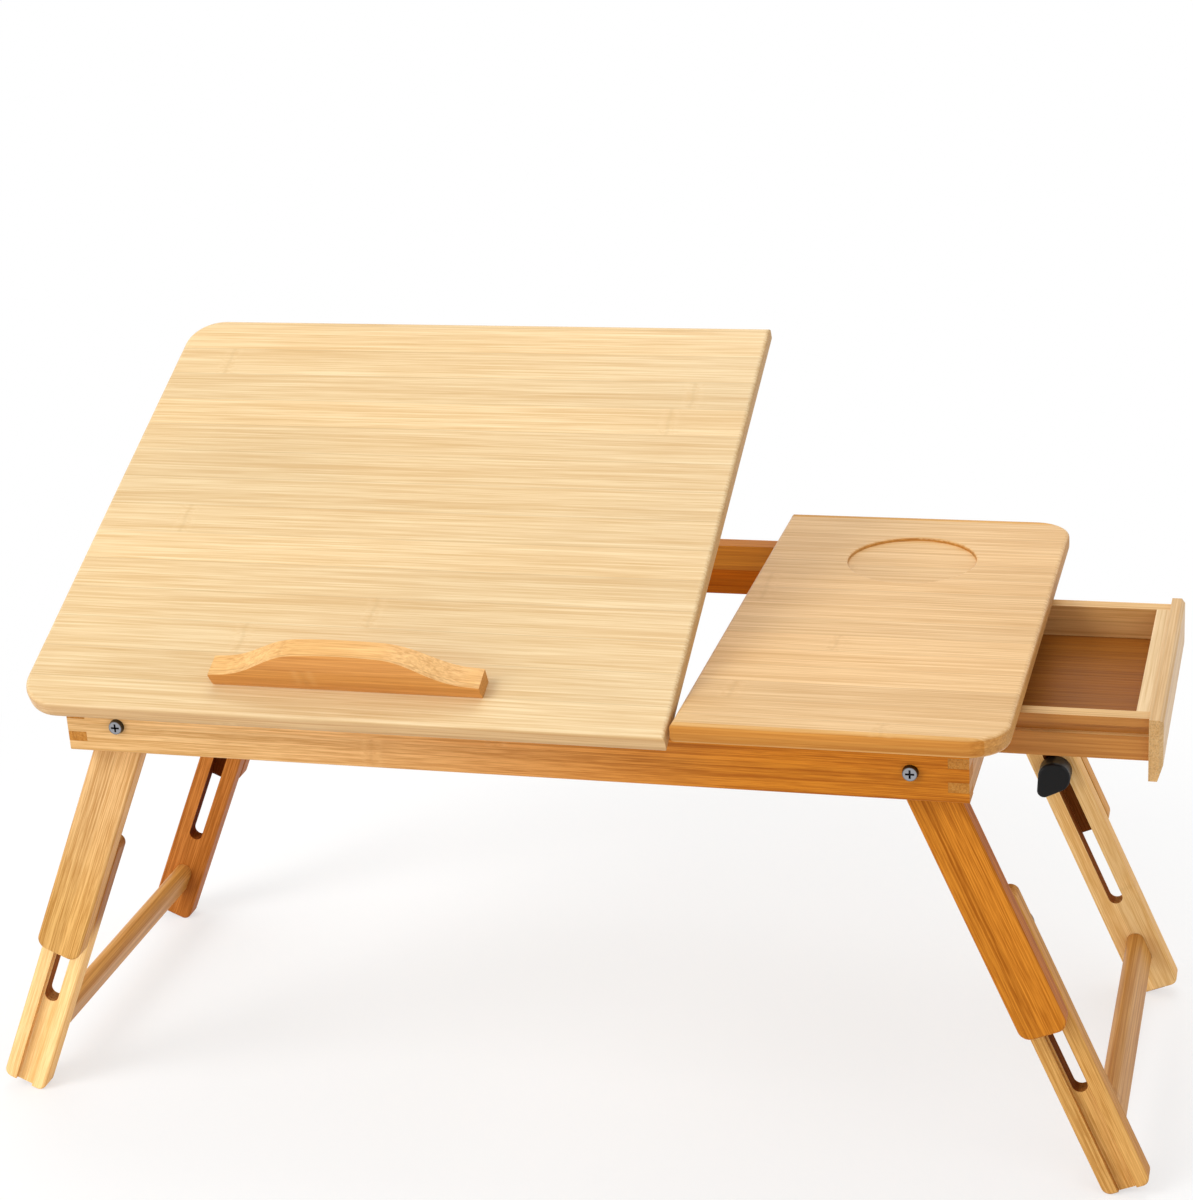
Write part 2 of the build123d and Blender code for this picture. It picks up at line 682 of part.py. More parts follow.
# Pivot bolts with cross recess, their nuts and the spacer rings
with BuildPart() as pivot_bolts:
    for end_name, end in ends:
        for side_name, side in sides:
            with BuildSketch(Plane(origin=(side * pivot_x, end * frame_back, pivot_z), z_dir=(0, end, 0))):
                Circle(bolt_head_radius)
            extrude(amount=bolt_head_height, taper=12)
            shank = frame_back - upper_inner - 0.4
            with BuildSketch(Plane(origin=(side * pivot_x, end * frame_back, pivot_z), z_dir=(0, end, 0))):
                Circle(bolt_radius)
            extrude(amount=-shank)
            recess_y = end * (frame_back + bolt_head_height)
            with BuildSketch(Plane(origin=(side * pivot_x, recess_y, pivot_z), z_dir=(0, end, 0))):
                Rectangle(bolt_recess_length, bolt_recess_width)
                Rectangle(bolt_recess_width, bolt_recess_length)
            extrude(amount=-bolt_recess_depth, mode=Mode.SUBTRACT)
finish(pivot_bolts.part, "pivot_bolts")

with BuildPart() as pivot_nuts:
    for end_name, end in ends:
        for side_name, side in sides:
            nut_y = end * (upper_inner + nut_pocket_depth - 0.1)
            with BuildSketch(Plane(origin=(side * pivot_x, nut_y, pivot_z), z_dir=(0, -end, 0))):
                RegularPolygon(nut_across_flats / 2, 6, major_radius=False)
                Circle(bolt_radius, mode=Mode.SUBTRACT)
            extrude(amount=nut_height)
finish(pivot_nuts.part, "pivot_nuts")

with BuildPart() as pivot_spacers:
    for end_name, end in ends:
        for side_name, side in sides:
            with BuildSketch(Plane(origin=(side * pivot_x, end * apron_inner, pivot_z), z_dir=(0, -end, 0))):
                Circle(2.4 * bolt_radius)
                Circle(bolt_radius, mode=Mode.SUBTRACT)
            extrude(amount=leg_gap - running_clearance)
finish(pivot_spacers.part, "pivot_spacers")

# Drawer runners between the divider and the right rail
runner_inner = drawer_half + runner_gap
tongue_z = drawer_top - side_groove_drop - side_groove_height / 2
for end_name, end in ends:
    runner_y = end * (runner_inner + runner_width / 2)
    tongue_y = end * (runner_inner - tongue_reach / 2)
    runner_x = (divider_right + rail_inner) / 2
    with BuildPart() as runner:
        with Locations((runner_x, runner_y, tongue_z)):
            Box(rail_inner - divider_right, runner_width, runner_height)
        with Locations((runner_x, tongue_y, tongue_z)):
            Box(
                rail_inner - divider_right,
                tongue_reach,
                side_groove_height - 2 * tongue_clearance,
            )
    finish(runner.part, f"{end_name}_runner")

# Drawer: grooved sides, inner front, back, floor and the bevelled face board
box_middle = (box_back + face_inner) / 2
box_z = (drawer_top + drawer_bottom) / 2
floor_z = drawer_bottom + drawer_floor_lift + drawer_floor / 2
floor_slot = drawer_floor + 0.2
floor_length = box_length - drawer_wall - drawer_inner_front_wall + 2 * floor_groove_depth
floor_middle = box_middle + (drawer_wall - drawer_inner_front_wall) / 2
for end_name, end in ends:
    side_y = end * (drawer_half - drawer_wall / 2)
    groove_y = end * (drawer_half - side_groove_depth / 2)
    with BuildPart() as drawer_side:
        with Locations((box_middle, side_y, box_z)):
            Box(box_length, drawer_wall, drawer_height)
        with Locations((box_middle, groove_y, tongue_z)):
            Box(box_length + 1, side_groove_depth, side_groove_height, mode=Mode.SUBTRACT)
        floor_groove_y = end * (drawer_half - drawer_wall + floor_groove_depth / 2)
        with Locations((floor_middle, floor_groove_y, floor_z)):
            Box(floor_length, floor_groove_depth, floor_slot, mode=Mode.SUBTRACT)
    finish(drawer_side.part, f"drawer_{end_name}_side")

for board_name, board_x, board_wall, inward in (
    ("drawer_inner_front", face_inner - drawer_inner_front_wall / 2, drawer_inner_front_wall, -1),
    ("drawer_back", box_back + drawer_wall / 2, drawer_wall, 1),
):
    with BuildPart() as cross_board:
        with Locations((board_x, 0, box_z)):
            Box(board_wall, drawer_width - 2 * drawer_wall, drawer_height)
        groove_x = board_x + inward * (board_wall - floor_groove_depth) / 2
        with Locations((groove_x, 0, floor_z)):
            Box(floor_groove_depth, drawer_width, floor_slot, mode=Mode.SUBTRACT)
    finish(cross_board.part, board_name)

with BuildPart() as drawer_bottom_panel:
    with Locations((floor_middle, 0, floor_z)):
        Box(
            floor_length - 0.4,
            drawer_width - 2 * drawer_wall + 2 * floor_groove_depth - 0.4,
            drawer_floor,
        )
finish(drawer_bottom_panel.part, "drawer_floor")

face_height = face_rise + drawer_height + face_drop
face_z = (drawer_top + face_rise + drawer_bottom - face_drop) / 2
with BuildPart() as drawer_face:
    with Locations((face_inner + face_thickness / 2, 0, face_z)):
        Box(face_thickness, face_width, face_height)
    front = drawer_face.faces().sort_by(Axis.X)[-1]
    lower_edge = front.edges().sort_by(Axis.Z)[0]
    chamfer(lower_edge, length=face_low_bevel_height, length2=face_low_bevel, reference=front)
    front = drawer_face.faces().filter_by(Axis.X).sort_by(Axis.X)[-1]
    chamfer(front.edges().sort_by(Axis.Z)[-1], length=face_bevel)
    front = drawer_face.faces().filter_by(Axis.X).sort_by(Axis.X)[-1]
    chamfer(front.edges().filter_by(Axis.Z), length=face_bevel)
finish(drawer_face.part, "drawer_face")
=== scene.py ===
import math

import bpy
from mathutils import Matrix, Vector


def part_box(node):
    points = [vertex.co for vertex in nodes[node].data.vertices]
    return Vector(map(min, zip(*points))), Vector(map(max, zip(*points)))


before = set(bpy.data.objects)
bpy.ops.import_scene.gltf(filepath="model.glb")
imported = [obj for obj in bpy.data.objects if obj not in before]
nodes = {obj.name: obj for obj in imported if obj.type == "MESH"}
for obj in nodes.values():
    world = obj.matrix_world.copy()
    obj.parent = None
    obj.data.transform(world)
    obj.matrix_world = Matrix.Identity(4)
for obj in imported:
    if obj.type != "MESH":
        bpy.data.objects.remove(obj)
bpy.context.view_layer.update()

# --- how the pieces lie, in metres and radians --------------------------------------------

SPLAY = math.radians(23.2)  # lean of the legs from upright
TILT = math.radians(24.9)  # tilt of the left top
PIVOT_X = 0.2033  # distance of the leg pivots from the middle of the desk
PIVOT_Z = 0.2392  # their height
LEG_LINE = PIVOT_X * math.cos(SPLAY) + PIVOT_Z * math.sin(SPLAY)  # from the origin to a leg's axis

# turns that bring the grain of a piece to X
ALONG_X = (0.0, 0.0, 0.0)
ALONG_Y = (0.0, 0.0, -math.pi / 2)
LEVEL_LID = (-TILT, 0.0, 0.0)
DOWN_LEFT_LEG = (0.0, math.pi / 2 - SPLAY, 0.0)
DOWN_RIGHT_LEG = (0.0, math.pi / 2 + SPLAY, 0.0)

# --- bamboo: sizes in metres, and counts per metre along the grain and across it -----------

ROW_START = 0.37  # the share of a strip that lies before the origin
SHEET_STEP = 17.3  # sets the strip numbers of one layer apart from the next
STRIP_SHIFT = (9.0, 40.0, 40.0)  # how far the fibres of two strips lie apart in the noise
FIBRES = (9.0, 950.0)
STREAKS = (2.6, 190.0)
HAIRS_ACROSS = 1100.0
THREADS = (4.0, 420.0)
CLOUDS = (5.0, 9.0)
CLOUD_PLACE = (3.0, 1.0, 7.0)
FIBRE_PART, STREAK_PART, HAIR_PART = 0.38, 0.27, 0.35
MIDDLE_TONE, RAISED_TONE = 0.55, 0.6
GLUE_WIDTH = 0.0005
STEM_JOINT_STEP = 0.62  # distance between two joints of the stem
STEM_SHIFT = 7.0  # spreads the joints of neighbouring strips
STEM_LINE = (0.0003, 0.0016)  # where the dark line of a joint starts to fade, and its edge
STEM_BAND, STEM_BAND_HALF = 0.004, 0.003  # how far off the paler band lies, and its half width
FLECKS = (260.0, 900.0)
FLECKED = (0.002, 0.009)  # where the flecks start to fade, and where they end
WAVER_ACROSS, WAVER = 120.0, 0.004
PORES = 1100.0
GRAIN_DEPTH = 0.0003


# --- small helpers for building node materials ---------------------------------------------


def add(tree, kind, inputs=None, **settings):
    """Adds a node, sets its options, and links or fills its inputs."""
    node = tree.nodes.new(kind)
    for key, value in settings.items():
        setattr(node, key, value)
    for key, value in (inputs or {}).items():
        plug(tree, node.inputs[key], value)
    return node


def plug(tree, socket, value):
    """Links a socket to another one, or gives it a value."""
    if isinstance(value, bpy.types.NodeSocket):
        tree.links.new(value, socket)
    else:
        socket.default_value = value


def calc(tree, operation, a, b=0.0):
    return add(tree, "ShaderNodeMath", {0: a, 1: b}, operation=operation).outputs[0]


def fade(tree, value, start, end, low=0.0, high=1.0):
    """A smooth step of value, from low at start to high at end."""
    inputs = {"Value": value, 1: start, 2: end, 3: low, 4: high}
    step = add(tree, "ShaderNodeMapRange", inputs, interpolation_type="SMOOTHSTEP")
    return step.outputs[0]


def mix(tree, share, a, b, blend="MIX"):
    node = add(tree, "ShaderNodeMix", data_type="RGBA", blend_type=blend)
    for socket, value in ((0, share), (6, a), (7, b)):
        plug(tree, node.inputs[socket], value)
    return node.outputs[2]


def multiply(tree, a, b):
    return calc(tree, "MULTIPLY", a, b)


def opaque(color, gain=1.0):
    """A colour with its alpha, made darker or lighter by gain."""
    return (*[part * gain for part in color], 1.0)


def stretched_noise(tree, coords, along, across, offset, detail):
    """Noise drawn out along the grain, with counts per metre along and across it."""
    scaled = {0: coords, 1: (along, across, across), 2: offset}
    moved = add(tree, "ShaderNodeVectorMath", scaled, operation="MULTIPLY_ADD").outputs[0]
    inputs = {"Vector": moved, "Scale": 1.0, "Detail": detail, "Roughness": 0.55}
    return add(tree, "ShaderNodeTexNoise", inputs).outputs[0]


def material(name):
    made = bpy.data.materials.new(name)
    made.use_nodes = True
    return made, made.node_tree, made.node_tree.nodes["Principled BSDF"]


# --- bamboo ---------------------------------------------------------------------------------


def lie_along_grain(tree, turn):
    """The place and normal of a point, turned so that the grain runs along X."""
    place = add(tree, "ShaderNodeTexCoord").outputs
    turned = {0: place["Object"], "Rotation": turn}
    coords = add(tree, "ShaderNodeMapping", turned).outputs[0]
    turned = {0: place["Normal"], "Rotation": turn}
    normal = add(tree, "ShaderNodeMapping", turned, vector_type="NORMAL").outputs[0]
    return coords, add(tree, "ShaderNodeSeparateXYZ", {0: normal}).outputs


def number_strips(tree, row, depth, layer):
    """A random value for each strip, and the shift that it gives to the strip's fibres."""
    sheet = calc(tree, "FLOOR", calc(tree, "DIVIDE", depth, layer))
    number = calc(tree, "ADD", calc(tree, "FLOOR", row), multiply(tree, sheet, SHEET_STEP))
    own = add(tree, "ShaderNodeTexWhiteNoise", {"W": number}, noise_dimensions="1D")
    value, color = own.outputs
    inputs = {0: color, 1: STRIP_SHIFT}
    return value, add(tree, "ShaderNodeVectorMath", inputs, operation="MULTIPLY").outputs[0]


def tone_of_fibres(tree, fibres, streaks, hairs, contrast):
    """Where a point stands between the dark and the light colour of the wood."""
    tone = 0.0
    for noise, part in ((fibres, FIBRE_PART), (streaks, STREAK_PART), (hairs, HAIR_PART)):
        tone = calc(tree, "ADD", tone, multiply(tree, fade(tree, noise, 0.35, 0.65), part))
    tone = multiply(tree, calc(tree, "SUBTRACT", tone, MIDDLE_TONE), contrast)
    return calc(tree, "ADD", tone, RAISED_TONE)


def vary(tree, color, coords, own_value, spread):
    """The tone of each strip, and slow changes over the board."""
    clouds = stretched_noise(tree, coords, *CLOUDS, CLOUD_PLACE, 2.0)
    gain = calc(tree, "ADD", multiply(tree, own_value, spread), 0.98 - spread / 2)
    gain = multiply(tree, gain, fade(tree, clouds, 0.25, 0.75, 0.96, 1.04))
    grey = add(tree, "ShaderNodeCombineXYZ", {0: gain, 1: gain, 2: gain}).outputs[0]
    return mix(tree, 1.0, color, grey, "MULTIPLY")


def shade(tree, color, across, depth, shades):
    """Tints the shaded places, and gives the share of each point that lies in one of them.

    A place is a band half wide on both sides of centre in depth, from near to far across."""
    shaded = 0.0
    for centre, half, near, far, tint in shades:
        aside = calc(tree, "ABSOLUTE", calc(tree, "SUBTRACT", depth, centre))
        inward = calc(tree, "ABSOLUTE", across)
        past_near = calc(tree, "GREATER_THAN", inward, near)
        inside = multiply(tree, past_near, calc(tree, "LESS_THAN", inward, far))
        inside = multiply(tree, inside, calc(tree, "LESS_THAN", aside, half))
        tinted = mix(tree, 1.0, color, opaque(tint), "MULTIPLY")
        color = mix(tree, inside, color, tinted)
        shaded = calc(tree, "MAXIMUM", shaded, inside)
    return color, shaded


def glue_lines(tree, row, strip):
    """Thin lines where two strips meet."""
    beside = calc(tree, "FRACT", row)
    beside = calc(tree, "MINIMUM", beside, calc(tree, "SUBTRACT", 1.0, beside))
    return fade(tree, multiply(tree, beside, strip), 0.0, GLUE_WIDTH, 0.28, 0.0)


def stem_joints(tree, color, coords, along, own_value, shift, light, dark, low):
    """Joints of the stem: a wavering line with a paler band and dark flecks beside it."""
    waver = stretched_noise(tree, coords, 0.0, WAVER_ACROSS, shift, 2.0)
    walk = calc(tree, "ADD", along, multiply(tree, own_value, STEM_SHIFT))
    walk = calc(tree, "ADD", walk, multiply(tree, waver, WAVER))
    part = calc(tree, "FRACT", calc(tree, "DIVIDE", walk, STEM_JOINT_STEP))
    away = calc(tree, "ABSOLUTE", calc(tree, "SUBTRACT", part, 0.5))
    away = multiply(tree, away, STEM_JOINT_STEP)
    line = fade(tree, away, *STEM_LINE, 0.13, 0.0)
    from_band = calc(tree, "ABSOLUTE", calc(tree, "SUBTRACT", away, STEM_BAND))
    band = fade(tree, from_band, 0.0, STEM_BAND_HALF, 0.10, 0.0)
    color = mix(tree, band, color, opaque(light))
    color = mix(tree, line, color, opaque(dark, 0.7))
    flecks = stretched_noise(tree, coords, *FLECKS, shift, 2.0)
    near = fade(tree, away, *FLECKED, 0.4, 0.0)
    return mix(tree, multiply(tree, fade(tree, flecks, 0.5, 0.62), near), color, low)


def bamboo(
    name,
    light,
    dark,
    turn=ALONG_X,
    strip=0.021,
    layer=0.02,
    end=0.45,
    contrast=1.0,
    coat=0.06,
    gloss=0.3,
    edge=(1.0, 1.0, 1.0),
    spread=0.12,
    hair=24.0,
    fine=1.0,
    face=2,
    drift=None,
    shades=(),
):
    """Laminated bamboo whose grain runs along X once the piece is turned by turn.

    It has strips of their own tone with thin glue lines, long fibres, faint joints of the
    stem, and pores on the faces that cut the grain. The tint edge goes on the sides of a
    board, and face is the axis of its broad faces. A drift is a change of colour along the
    grain: where it starts, where it ends, and the light and dark colour that it ends in."""
    made, tree, shader = material(name)
    coords, facing = lie_along_grain(tree, turn)
    along, across, depth = add(tree, "ShaderNodeSeparateXYZ", {0: coords}).outputs[:]
    row = calc(tree, "ADD", calc(tree, "DIVIDE", across, strip), ROW_START)
    own_value, shift = number_strips(tree, row, depth, layer)

    fibres = stretched_noise(tree, coords, FIBRES[0], FIBRES[1] * fine, shift, 5.0)
    streaks = stretched_noise(tree, coords, STREAKS[0], STREAKS[1] * fine, shift, 3.0)
    hairs = stretched_noise(tree, coords, hair, HAIRS_ACROSS * fine, shift, 3.0)
    low, high = opaque(dark), opaque(light)
    if drift:
        start, stop, end_light, end_dark = drift
        gone = fade(tree, along, start, stop)
        low = mix(tree, gone, low, opaque(end_dark))
        high = mix(tree, gone, high, opaque(end_light))
    color = mix(tree, tone_of_fibres(tree, fibres, streaks, hairs, contrast), low, high)

    threads = stretched_noise(tree, coords, THREADS[0], THREADS[1] * fine, shift, 2.0)
    threads = fade(tree, threads, 0.56, 0.70, 0.0, 0.55 * contrast)
    color = mix(tree, threads, color, low)

    # the sides of the board show the inner layers, which are deeper in tone than its faces
    sideways = fade(tree, calc(tree, "ABSOLUTE", facing[face]), 0.35, 0.85, 1.0, 0.0)
    color = mix(tree, sideways, color, mix(tree, 1.0, color, opaque(edge), "MULTIPLY"))
    color = vary(tree, color, coords, own_value, spread)
    color, shaded = shade(tree, color, across, depth, shades)
    glue = glue_lines(tree, row, strip)
    color = mix(tree, glue, color, opaque(dark, 0.6))
    color = stem_joints(tree, color, coords, along, own_value, shift, light, dark, low)

    # cut ends are darker, with the pores of the fibres
    cut = fade(tree, calc(tree, "ABSOLUTE", facing[0]), 0.75, 0.95)
    pores = add(tree, "ShaderNodeTexVoronoi", {"Vector": coords, "Scale": PORES}).outputs[0]
    pores = fade(tree, pores, 0.15, 0.5)
    cut_color = mix(tree, pores, opaque(dark, 0.45), opaque(dark, 0.95))
    color = mix(tree, multiply(tree, cut, end), color, cut_color)
    plug(tree, shader.inputs["Base Color"], color)

    rough = fade(tree, fibres, 0.3, 0.7, 0.46, 0.36)
    rough = calc(tree, "ADD", rough, multiply(tree, cut, 0.2))
    rough = calc(tree, "ADD", rough, multiply(tree, shaded, 0.5))
    plug(tree, shader.inputs["Roughness"], rough)
    relief = calc(tree, "ADD", fibres, multiply(tree, hairs, 0.5))
    relief = calc(tree, "SUBTRACT", relief, multiply(tree, glue, 1.5))
    bump = add(tree, "ShaderNodeBump", {"Strength": 0.22, "Distance": GRAIN_DEPTH, "Height": relief})
    plug(tree, shader.inputs["Normal"], bump.outputs[0])
    shader.inputs["Specular IOR Level"].default_value = gloss
    shader.inputs["Coat Weight"].default_value = coat
    shader.inputs["Coat Roughness"].default_value = 0.28
    return made


# --- the woods, each with its light and its dark colour -------------------------------------

PALE = (0.84, 0.565, 0.28), (0.60, 0.335, 0.115)
PALE_RIGHT_END = (0.79, 0.51, 0.235), (0.56, 0.30, 0.095)
LID = (0.80, 0.61, 0.35), (0.62, 0.395, 0.17)
STOP = (0.86, 0.52, 0.20), (0.56, 0.27, 0.07)
WARM = (0.68, 0.33, 0.072), (0.40, 0.145, 0.016)
APRON_LEFT = (0.84, 0.53, 0.24), (0.58, 0.31, 0.10)
# the front apron's right end: partly its own deeper tone, and partly painted shade away from the
# lamp
APRON_RIGHT = (0.62, 0.215, 0.016), (0.37, 0.10, 0.004)
BACK = (0.60, 0.235, 0.022), (0.35, 0.10, 0.007)
BRACE = (0.70, 0.35, 0.085), (0.44, 0.17, 0.024)
DRAWER_SIDE = (0.80, 0.52, 0.23), (0.54, 0.29, 0.09)
DRAWER_END = (0.84, 0.61, 0.34), (0.60, 0.38, 0.16)
DRAWER_FACE = (0.78, 0.52, 0.25), (0.54, 0.29, 0.09)
DRAWER_FLOOR = (0.38, 0.135, 0.018), (0.22, 0.066, 0.007)
BRIGHT = (0.98, 0.67, 0.31), (0.76, 0.42, 0.13)
LIGHT = (0.99, 0.70, 0.33), (0.80, 0.47, 0.17)
FAIR = (0.76, 0.44, 0.145), (0.48, 0.225, 0.05)
FAIR_TOP = (0.79, 0.49, 0.22), (0.52, 0.265, 0.085)
MIDDLE = (0.76, 0.43, 0.135), (0.48, 0.215, 0.045)
DEEP = (0.65, 0.235, 0.022), (0.36, 0.10, 0.005)
RED = (0.56, 0.20, 0.04), (0.34, 0.10, 0.012)
IN_SHADE = (0.44, 0.19, 0.05), (0.27, 0.095, 0.014)

WIDE_STRIP = 0.03
THIN_LAYER = 0.0035
ANY_DEPTH = 1.0  # more than the size of any board
EDGE_BAND = 0.1445  # where the deeper tone of the fixed top's edges starts, across the desk
DULL = {"gloss": 0.15, "coat": 0.03}
DULLER = {"gloss": 0.1, "coat": 0.0}
SHORT_FIBRES = {"hair": 60.0, "fine": 1.5}
DRAWER_SIDES_TINT = (0.71, 0.475, 0.23)


def wood_of_tops():
    """The two tops and the stop, of thin layers."""
    edges = (0.0, ANY_DEPTH, EDGE_BAND, ANY_DEPTH, (0.93, 0.82, 0.62))
    board = bamboo(
        "bamboo_board",
        *PALE,
        layer=THIN_LAYER,
        edge=(0.77, 0.56, 0.26),
        drift=(0.16, 0.31, *PALE_RIGHT_END),
        contrast=1.15,
        shades=(edges,),
    )
    lid_edge = (0.78, 0.67, 0.56)
    lid = bamboo("bamboo_lid", *LID, LEVEL_LID, layer=THIN_LAYER, edge=lid_edge, contrast=1.15)
    stop = bamboo("bamboo_stop", *STOP, LEVEL_LID, layer=0.012, edge=(0.85, 0.64, 0.38))
    return {"fixed_top": board, "tilting_top": lid, "laptop_stop": stop}


def wood_of_frame():
    """The aprons, rails, runners, divider and bearer.

    The front apron is deeper in tone towards its right end: partly its own tone, and partly painted
    shade on the side away from the lamp."""
    front = bamboo(
        "bamboo_front_apron",
        *APRON_LEFT,
        strip=WIDE_STRIP,
        drift=(-0.21, 0.15, *APRON_RIGHT),
        contrast=1.5,
        **SHORT_FIBRES,
        **DULLER,
    )
    low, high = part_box("back_apron")
    lower_band = (low.z, (high.z - low.z) / 2, 0.0, ANY_DEPTH, (0.85, 0.57, 0.25))
    back = bamboo(
        "bamboo_back_apron", *BACK, layer=0.0146, spread=0.3, shades=(lower_band,), **DULLER
    )
    along = bamboo("bamboo_frame_long", *WARM, strip=WIDE_STRIP, contrast=1.3, **DULL)
    cross = bamboo(
        "bamboo_frame_cross", *WARM, ALONG_Y, strip=WIDE_STRIP, end=0.5, contrast=1.2, **DULL
    )
    woods = {"front_apron": front, "back_apron": back, "divider": cross, "bearer": cross}
    for name in nodes:
        if name.endswith("_runner"):
            woods[name] = along
        elif name.endswith("_rail"):
            woods[name] = cross
    return woods


def wood_of_drawer():
    """The far side of the drawer shows its inner face, painted lighter as painted light where the
    lamp falls on it, and the near one its outside.
    """
    strip = {"strip": WIDE_STRIP, "gloss": 0.2}
    near = bamboo("bamboo_drawer_long", *DRAWER_SIDE, edge=DRAWER_SIDES_TINT, **strip)
    # painted light: the far side's inner face is painted lighter than the near side, where the lamp
    # falls on it
    far = bamboo("bamboo_drawer_far_side_painted_light", *DRAWER_SIDE, edge=(1.0, 0.93, 0.85), **strip)
    cross = bamboo("bamboo_drawer_cross", *DRAWER_END, ALONG_Y, edge=DRAWER_SIDES_TINT, **strip)
    return {
        "drawer_front_side": near,
        "drawer_back_side": far,
        "drawer_inner_front": cross,
        "drawer_back": cross,
        "drawer_face": bamboo("bamboo_face", *DRAWER_FACE, ALONG_Y, strip=0.016),
        "drawer_floor": bamboo("bamboo_drawer_floor", *DRAWER_FLOOR, gloss=0.1, coat=0.0),
    }


# legs are cut from different stems, so they differ in tone, and the tones also hold painted light
# and shade, lighter or deeper for how the lamp falls on each leg
LEG_TONES_AND_PAINTED_LIGHT = {
    "front_left_upper_leg": FAIR,
    "front_left_lower_leg": LIGHT,
    "back_left_upper_leg": RED,
    "back_left_lower_leg": RED,
    "front_right_upper_leg": DEEP,
    "front_right_lower_leg": MIDDLE,
    "back_right_upper_leg": MIDDLE,
    "back_right_lower_leg": BRIGHT,
}
# the front left legs: the upper one is paler at its top, and shades the top of the lower one
LEG_DRIFTS = {
    "front_left_upper_leg": (0.0, 0.1, *FAIR_TOP),
    "front_left_lower_leg": (-0.014, 0.008, *IN_SHADE),
}
# painted shade: darker in the slot of each lower leg and on the rib of each upper leg that runs in
# it
HOLLOW_PAINTED_SHADE = (0.42, 0.25, 0.17)
SLOT = (0.0042, 0.0962, 0.1046)  # half width of the slot, and its walls across the desk
RIB = (0.0049, 0.1, 0.1081)  # the same of the rib that runs in it


def wood_of_legs():
    """One wood for each leg, shaded in the slot of a lower leg and on the rib of an upper one."""
    woods = {}
    for name, tone in LEG_TONES_AND_PAINTED_LIGHT.items():
        left = "_left_" in name
        hollow = SLOT if name.endswith("lower_leg") else RIB
        woods[name] = bamboo(
            f"bamboo_{name}",
            *tone,
            DOWN_LEFT_LEG if left else DOWN_RIGHT_LEG,
            strip=WIDE_STRIP,
            contrast=1.6,
            face=1,
            edge=(0.95, 0.84, 0.68),
            gloss=0.06,
            coat=0.0,
            drift=LEG_DRIFTS.get(name),
            shades=((LEG_LINE if left else -LEG_LINE, *hollow, HOLLOW_PAINTED_SHADE),),
            **SHORT_FIBRES,
        )
    brace = bamboo(
        "bamboo_brace", *BRACE, ALONG_Y, strip=WIDE_STRIP, contrast=1.2, gloss=0.2
    )
    return {**woods, "left_brace": brace, "right_brace": brace}


# --- metal and plastic ----------------------------------------------------------------------


def grained(name, low, high, rough, scale, detail, strength):
    """A material of slightly uneven colour, roughness and relief."""
    made, tree, shader = material(name)
    place = add(tree, "ShaderNodeTexCoord").outputs["Object"]
    inputs = {"Vector": place, "Scale": scale, "Detail": detail}
    grain = add(tree, "ShaderNodeTexNoise", inputs).outputs[0]
    plug(tree, shader.inputs["Base Color"], mix(tree, grain, low, high))
    plug(tree, shader.inputs["Roughness"], fade(tree, grain, 0.3, 0.7, *rough))
    inputs = {"Strength": strength, "Distance": 0.0001, "Height": grain}
    plug(tree, shader.inputs["Normal"], add(tree, "ShaderNodeBump", inputs).outputs[0])
    return made, tree, shader


def metal(name, color, roughness, scale, strength):
    low, high = opaque(color, 0.86), opaque(color)
    rough = (roughness * 0.75, roughness * 1.3)
    made, tree, shader = grained(name, low, high, rough, scale, 3.0, strength)
    shader.inputs["Metallic"].default_value = 1.0
    return made


def plastic(name, color, roughness, scale, gloss=0.5):
    low, high = opaque(color, 0.8), opaque(color, 1.25)
    rough = (roughness * 0.9, roughness * 1.1)
    made, tree, shader = grained(name, low, high, rough, scale, 2.0, 0.25)
    shader.inputs["Specular IOR Level"].default_value = gloss
    return made


SUNK_FROM = 0.0003  # how far below the flat of a bolt head the painted shade of its cross starts
CROSS_REACH = (0.0022, 0.0026)  # the ends of the cross from its middle, and where its painted shade ends
PAINTED_RIM_REFLECTION = (0.0029, 0.0037)  # where the painted dark reflection of a head starts towards its rim, and where it is darkest


def bolt_chrome():
    """Chrome for the pivot bolts, with painted shade in the cross recess and a painted dark
    reflection at the rim of each head.
    """
    made = metal("chrome", (0.36, 0.36, 0.38), 0.2, 900.0, 0.05)
    tree, shader = made.node_tree, made.node_tree.nodes["Principled BSDF"]
    place = add(tree, "ShaderNodeTexCoord").outputs["Object"]
    x, y, z = add(tree, "ShaderNodeSeparateXYZ", {0: place}).outputs[:]
    low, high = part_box("pivot_bolts")
    sideways = calc(tree, "SUBTRACT", calc(tree, "ABSOLUTE", x), PIVOT_X)
    upward = calc(tree, "SUBTRACT", z, (low.z + high.z) / 2)
    away = calc(tree, "ADD", calc(tree, "POWER", sideways, 2.0), calc(tree, "POWER", upward, 2.0))
    away = calc(tree, "SQRT", away)
    sunk = calc(tree, "LESS_THAN", calc(tree, "ABSOLUTE", y), high.y - SUNK_FROM)
    # painted shade in the cross recess, and a painted dark reflection towards the rim of each head
    dark = multiply(tree, sunk, fade(tree, away, *CROSS_REACH, 1.0, 0.0))
    dark = calc(tree, "MAXIMUM", dark, fade(tree, away, *PAINTED_RIM_REFLECTION, 0.0, 0.85))
    base = shader.inputs["Base Color"].links[0].from_socket
    plug(tree, shader.inputs["Base Color"], mix(tree, dark, base, (0.02, 0.02, 0.02, 1.0)))
    return made


# --- finish of every piece ------------------------------------------------------------------

